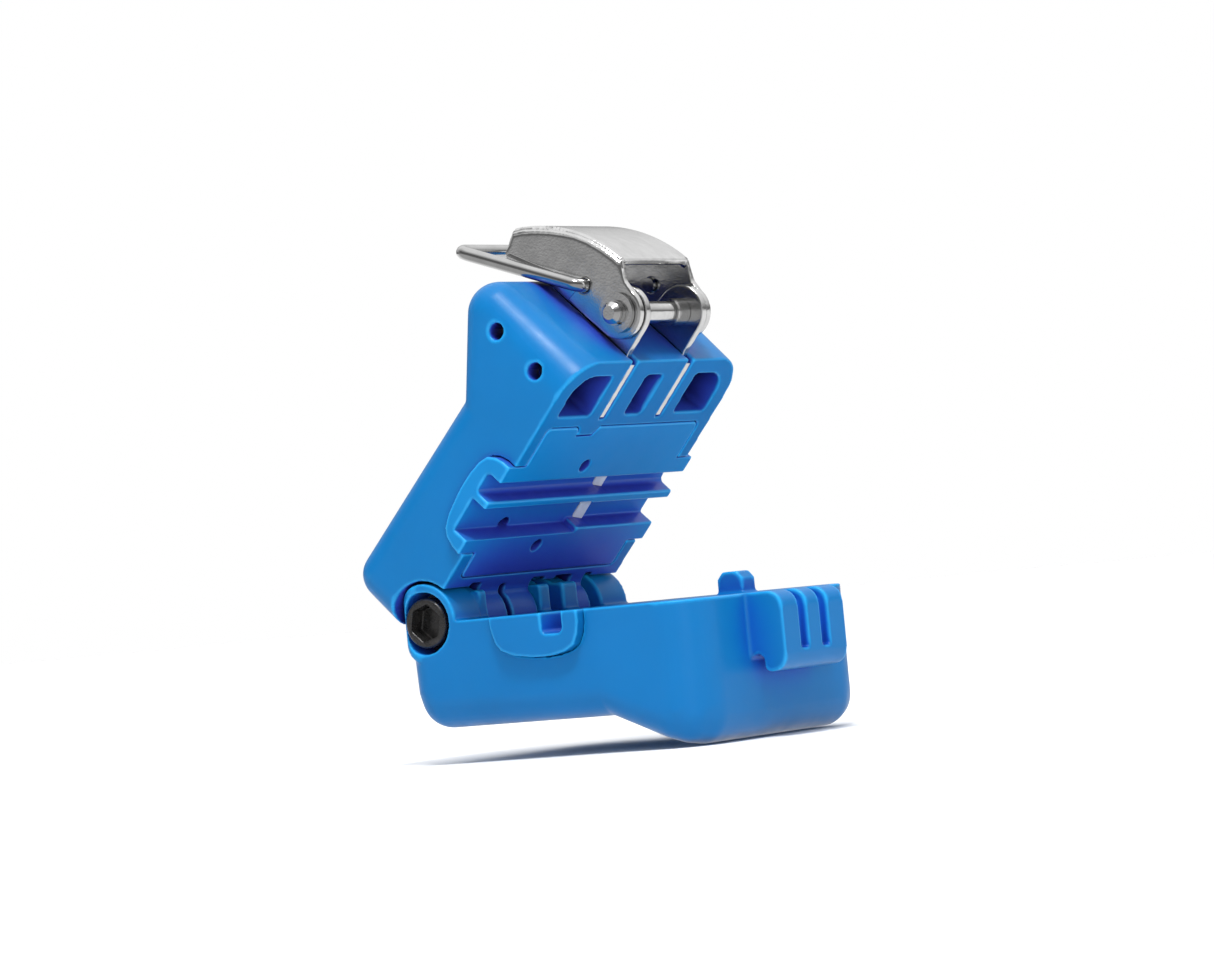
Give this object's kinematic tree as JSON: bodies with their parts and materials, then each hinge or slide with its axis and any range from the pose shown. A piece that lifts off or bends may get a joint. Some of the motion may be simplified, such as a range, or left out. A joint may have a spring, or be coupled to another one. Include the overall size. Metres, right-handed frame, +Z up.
{
  "type": "flat cable slitting tool",
  "caption": "Hinged hand tool: two blue plastic shells close on a flat cable, blades cross its channels, and a steel over-centre wire bail latch locks it shut",
  "frame": {"origin": "middle of the flat underside of the lower shell's neck", "axes": "+X from the hinge toward the latch, +Y across the tool, +Z up out of the lower shell's mating face; the lower shell stays level and the upper shell stands open 47.4 degrees"},
  "size_m": [0.0849, 0.0608, 0.0999],
  "materials": {
    "blue_plastic": "satin moulded, slightly translucent",
    "insert_plastic": "satin moulded",
    "black_steel": "black oxide, semi matt",
    "blade_steel": "ground",
    "stainless": "tumbled satin"
  },
  "bodies": {
    "lower": {"lower_shell": "blue_plastic", "lower_insert": "insert_plastic", "hinge_screw": "black_steel", "hinge_washer": "black_steel", "hinge_nut": "black_steel"},
    "upper": {"upper_shell": "blue_plastic", "upper_insert": "insert_plastic", "blade_round_channel": "blade_steel", "blade_square_channel": "blade_steel", "set_screw_round_channel": "black_steel", "set_screw_square_channel": "black_steel", "ear_near": "stainless", "ear_far": "stainless", "ear_pin_outer": "stainless", "ear_pin_inner": "stainless", "pivot_rivet": "stainless", "pivot_sleeve": "stainless", "pivot_collar": "stainless", "washer_near": "stainless", "washer_far": "stainless", "retainer_near": "stainless", "retainer_far": "stainless"},
    "lever": {"latch_lever": "stainless"},
    "bail": {"latch_bail": "stainless"}
  },
  "joints": [
    {"name": "shell_hinge", "type": "hinge", "parent": "lower", "child": "upper", "pos_m": [-0.0195, 0, 0.0202], "axis": [0, 1, 0], "range_deg": [-38.5, 47.4]},
    {"name": "lever_pivot", "type": "hinge", "parent": "upper", "child": "lever", "pos_m": [0.02051, 0, 0.07457], "axis": [0, 1, 0], "range_deg": [0, 90]},
    {"name": "bail_pivot", "type": "hinge", "parent": "lever", "child": "bail", "pos_m": [0.01329, 0, 0.08053], "axis": [0, 1, 0], "range_deg": [0, 140]}
  ]
}
